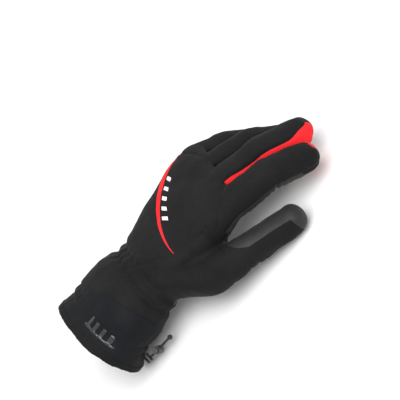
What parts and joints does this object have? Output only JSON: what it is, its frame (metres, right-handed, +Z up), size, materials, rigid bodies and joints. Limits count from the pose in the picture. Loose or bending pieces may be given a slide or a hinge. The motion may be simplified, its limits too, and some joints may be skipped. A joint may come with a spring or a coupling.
{
  "type": "ski glove",
  "caption": "Left padded ski glove with bending fingers and thumb, gathered wrist, long cuff with drawcord lock and hanging loop; warms and guards a hand in snow.",
  "frame": {"origin": "middle of the lower side of the glove's bounding box, as it lies palm down", "axes": "+Y along the glove from the cuff's hem to the fingertips, +X towards the thumb, +Z up, out of the back of the hand"},
  "size_m": [0.1378, 0.2698, 0.0745],
  "materials": {
    "softshell": "matt woven softshell",
    "leather": "soft grained goat leather, low sheen",
    "red_fabric": "matt red softshell",
    "lining": "brushed fleece over padding",
    "binding": "folded woven binding",
    "cord": "round braided elastic",
    "webbing": "woven elastic and webbing",
    "print_white": "raised matt print",
    "patch_rubber": "satin coated fabric",
    "emblem_rubber": "glossy moulded rubber",
    "plastic": "moulded, fine texture",
    "plastic_button": "moulded, fine texture"
  },
  "bodies": {
    "sleeve": {"cord_grommet": "plastic", "cord_tail": "cord", "cuff_back": "softshell", "cuff_emblem": "emblem_rubber", "cuff_facing": "lining", "cuff_lining": "lining", "cuff_little_side": "softshell", "cuff_palm": "softshell", "cuff_patch": "patch_rubber", "cuff_thumb_side": "softshell", "drawcord": "cord", "hand_back": "softshell", "hand_lining": "lining", "hand_palm": "leather", "hem_binding": "binding", "red_stripe": "red_fabric", "thumb_gusset": "leather", "white_mark": "print_white", "wrist_elastic": "webbing"},
    "index_base": {"index_base_back": "softshell", "index_base_lining": "lining", "index_base_palm": "leather", "index_base_red_fourchette_little": "red_fabric"},
    "index_tip": {"index_tip_back": "softshell", "index_tip_lining": "lining", "index_tip_palm": "leather", "index_tip_red_fourchette_little": "red_fabric"},
    "middle_base": {"middle_base_back": "softshell", "middle_base_fourchette_little": "softshell", "middle_base_lining": "lining", "middle_base_palm": "leather", "middle_base_red_fourchette_thumb": "red_fabric"},
    "middle_tip": {"middle_tip_back": "softshell", "middle_tip_lining": "lining", "middle_tip_palm": "leather", "middle_tip_red_fourchette_thumb": "red_fabric"},
    "ring_base": {"ring_base_back": "softshell", "ring_base_fourchette_little": "softshell", "ring_base_fourchette_thumb": "softshell", "ring_base_lining": "lining", "ring_base_palm": "leather"},
    "ring_tip": {"ring_tip_back": "softshell", "ring_tip_lining": "lining", "ring_tip_palm": "leather"},
    "little_base": {"little_base_back": "softshell", "little_base_fourchette_thumb": "softshell", "little_base_lining": "lining", "little_base_palm": "leather"},
    "little_tip": {"little_tip_back": "softshell", "little_tip_lining": "lining", "little_tip_palm": "leather"},
    "thumb_base": {"thumb_base_back": "softshell", "thumb_base_lining": "lining", "thumb_base_palm": "leather"},
    "thumb_tip": {"thumb_tip_back": "softshell", "thumb_tip_lining": "lining", "thumb_tip_palm": "leather"},
    "cord_lock": {"lock_body": "plastic"},
    "lock_button": {"lock_plunger": "plastic_button"},
    "loop": {"hanging_loop": "webbing"}
  },
  "joints": [
    {"name": "index_knuckle", "type": "hinge", "parent": "sleeve", "child": "index_base", "pos_m": [0.02495, 0.03707, 0.05], "axis": [-1, 0, 0], "range_deg": [-22, 58], "stiffness_Nm_per_rad": 0.8},
    {"name": "index_bend", "type": "hinge", "parent": "index_base", "child": "index_tip", "pos_m": [0.02495, 0.08237, 0.04201], "axis": [-1, 0, 0], "range_deg": [-24, 58], "stiffness_Nm_per_rad": 0.6},
    {"name": "middle_knuckle", "type": "hinge", "parent": "sleeve", "child": "middle_base", "pos_m": [-0.00205, 0.04107, 0.051], "axis": [-1, 0, 0], "range_deg": [-22, 58], "stiffness_Nm_per_rad": 0.8},
    {"name": "middle_bend", "type": "hinge", "parent": "middle_base", "child": "middle_tip", "pos_m": [-0.00205, 0.09031, 0.04232], "axis": [-1, 0, 0], "range_deg": [-22, 58], "stiffness_Nm_per_rad": 0.6},
    {"name": "ring_knuckle", "type": "hinge", "parent": "sleeve", "child": "ring_base", "pos_m": [-0.02905, 0.03807, 0.05], "axis": [-1, 0, 0], "range_deg": [-30, 52], "stiffness_Nm_per_rad": 0.8},
    {"name": "ring_bend", "type": "hinge", "parent": "ring_base", "child": "ring_tip", "pos_m": [-0.02905, 0.08302, 0.03626], "axis": [-1, 0, 0], "range_deg": [-40, 48], "stiffness_Nm_per_rad": 0.6},
    {"name": "little_knuckle", "type": "hinge", "parent": "sleeve", "child": "little_base", "pos_m": [-0.05605, 0.03007, 0.048], "axis": [-1, 0, 0], "range_deg": [-34, 48], "stiffness_Nm_per_rad": 0.8},
    {"name": "little_bend", "type": "hinge", "parent": "little_base", "child": "little_tip", "pos_m": [-0.05605, 0.06505, 0.03315], "axis": [-1, 0, 0], "range_deg": [-40, 45], "stiffness_Nm_per_rad": 0.6},
    {"name": "thumb_root", "type": "hinge", "parent": "sleeve", "child": "thumb_base", "pos_m": [0.05395, -0.01893, 0.035], "axis": [-1, 0, 0], "range_deg": [-12, 26], "stiffness_Nm_per_rad": 1},
    {"name": "thumb_bend", "type": "hinge", "parent": "thumb_base", "child": "thumb_tip", "pos_m": [0.05395, 0.02288, 0.02496], "axis": [-1, 0, 0], "range_deg": [-14, 42], "stiffness_Nm_per_rad": 0.75},
    {"name": "lock_slide", "type": "slide", "parent": "sleeve", "child": "cord_lock", "axis": [0, 1, 0], "range_m": [0, 0.006]},
    {"name": "button_press", "type": "slide", "parent": "cord_lock", "child": "lock_button", "axis": [-0.6428, 0, -0.766], "range_m": [0, 0.0014], "stiffness_N_per_m": 300},
    {"name": "loop_turn", "type": "hinge", "parent": "sleeve", "child": "loop", "pos_m": [-0.05325, -0.12743, 0.037], "axis": [0, 0, 1], "range_deg": [0, 110], "stiffness_Nm_per_rad": 0.002}
  ]
}
